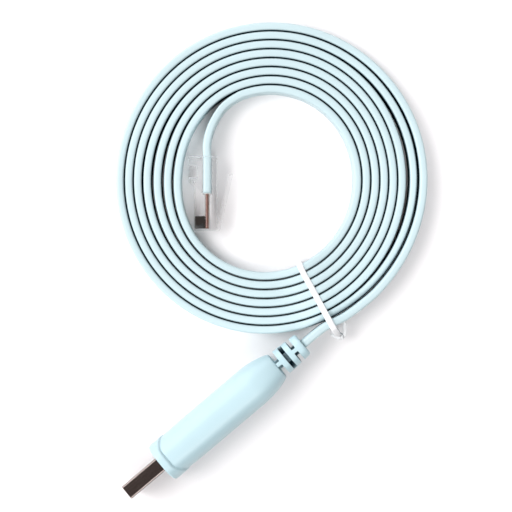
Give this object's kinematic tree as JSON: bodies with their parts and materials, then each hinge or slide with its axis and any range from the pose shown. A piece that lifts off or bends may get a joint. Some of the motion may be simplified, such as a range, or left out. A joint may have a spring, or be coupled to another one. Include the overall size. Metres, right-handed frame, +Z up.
{
  "type": "rj45 console cable",
  "caption": "Flat pale blue console cable with a USB-A plug in a long moulded housing and a clear RJ45 plug, wound on edge into a round coil held by a white tie.",
  "frame": {"origin": "on the floor under the middle of the USB plug and its housing, which lie on edge", "axes": "+X along the USB plug from its mouth towards the cable, +Z up off the floor that the coil lies on, +Y across the plug towards the coil"},
  "size_m": [0.1356, 0.0942, 0.0166],
  "materials": {
    "cable_jacket": "smooth satin flexible vinyl, pale blue",
    "housing_plastic": "satin moulded plastic, pale blue",
    "plated_steel": "bright nickel plate",
    "white_insulator": "moulded, slightly glossy",
    "gold_plating": "bright gold plate",
    "clear_plastic": "clear moulded polycarbonate",
    "wire_insulation": "smooth coloured core insulation",
    "tie_plastic": "white plastic coated"
  },
  "bodies": {
    "root": {"usb_shell": "plated_steel", "usb_tongue": "white_insulator", "usb_collar": "housing_plastic", "usb_housing": "housing_plastic", "strain_relief": "housing_plastic", "usb_contact_1": "gold_plating", "usb_contact_2": "gold_plating", "usb_contact_3": "gold_plating", "usb_contact_4": "gold_plating", "cable_lead_usb": "cable_jacket", "cable_coil": "cable_jacket", "cable_lead_rj45": "cable_jacket", "rj45_body": "clear_plastic", "rj45_contact_1": "gold_plating", "rj45_contact_2": "gold_plating", "rj45_contact_3": "gold_plating", "rj45_contact_4": "gold_plating", "rj45_contact_5": "gold_plating", "rj45_contact_6": "gold_plating", "rj45_contact_7": "gold_plating", "rj45_contact_8": "gold_plating", "rj45_wire_1": "wire_insulation", "rj45_wire_2": "wire_insulation", "rj45_wire_3": "wire_insulation", "rj45_wire_4": "wire_insulation", "rj45_wire_5": "wire_insulation", "rj45_wire_6": "wire_insulation", "rj45_wire_7": "wire_insulation", "rj45_wire_8": "wire_insulation", "twist_tie": "tie_plastic"}
  },
  "joints": []
}
